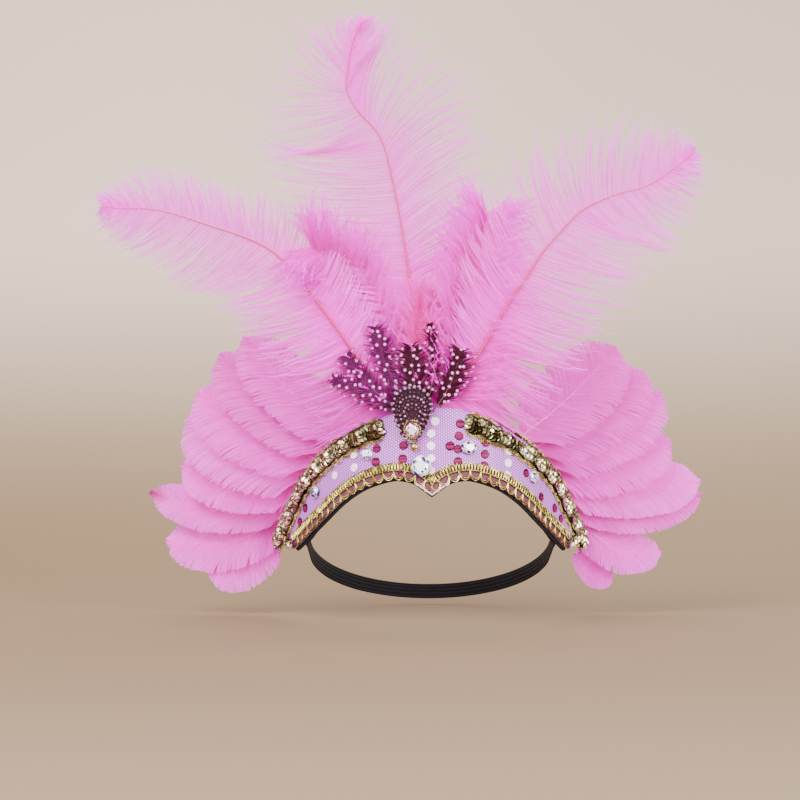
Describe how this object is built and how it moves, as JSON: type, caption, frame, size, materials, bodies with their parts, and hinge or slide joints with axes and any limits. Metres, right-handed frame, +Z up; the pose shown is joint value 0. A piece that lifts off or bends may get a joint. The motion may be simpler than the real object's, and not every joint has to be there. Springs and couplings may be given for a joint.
{
  "type": "feather headband",
  "caption": "Stage headdress: a sequinned crescent band with gold trims and clear stones under tall pink plumes, with side fans of feathers and an elastic strap round the back of the head.",
  "frame": {"origin": "axis of the band's round front, in the head hollow, level with the lower edge over the forehead", "axes": "+Z up along the worn head, front faces -Y, +X to the right as seen from the front"},
  "size_m": [0.4068, 0.1939, 0.3904],
  "materials": {
    "sequin_cloth": "lilac net with sequins",
    "black_felt": "matt black felt",
    "gold_braid": "gold metallic thread",
    "gold_sequin": "gold metallised",
    "clear_stone": "cut clear acrylic, foiled behind",
    "motif_beads": "burgundy and gold beads",
    "gold_bead": "gold metallised",
    "ostrich_pink": "dyed ostrich barbs",
    "down_pink": "dyed fluffy down",
    "goose_pink": "dyed satin vane",
    "guinea_spotted": "dark vane with pale dots",
    "black_elastic": "woven elastic"
  },
  "bodies": {
    "root": {"crown": "sequin_cloth", "lining": "black_felt", "gimp_braid": "gold_braid", "sequin_trim_left": "gold_sequin", "sequin_trim_right": "gold_sequin", "stone_middle": "clear_stone", "stone_left": "clear_stone", "stone_right": "clear_stone", "stone_left_end": "clear_stone", "stone_right_end": "clear_stone", "motif_plate": "motif_beads", "motif_stone": "clear_stone", "motif_drop": "gold_bead", "guinea_left_low": "guinea_spotted", "guinea_left": "guinea_spotted", "guinea_tall": "guinea_spotted", "guinea_middle": "guinea_spotted", "guinea_dark": "guinea_spotted", "guinea_right": "guinea_spotted", "plume_left": "ostrich_pink", "plume_centre": "ostrich_pink", "plume_right": "ostrich_pink", "down_left": "down_pink", "down_centre": "down_pink", "down_right": "down_pink", "goose_left_1": "goose_pink", "goose_left_2": "goose_pink", "goose_left_3": "goose_pink", "goose_left_4": "goose_pink", "goose_left_5": "goose_pink", "goose_left_6": "goose_pink", "goose_left_7": "goose_pink", "goose_left_8": "goose_pink", "goose_right_1": "goose_pink", "goose_right_2": "goose_pink", "goose_right_3": "goose_pink", "goose_right_4": "goose_pink", "goose_right_5": "goose_pink", "goose_right_6": "goose_pink", "goose_right_7": "goose_pink", "goose_right_8": "goose_pink", "elastic_strap": "black_elastic"}
  },
  "joints": []
}
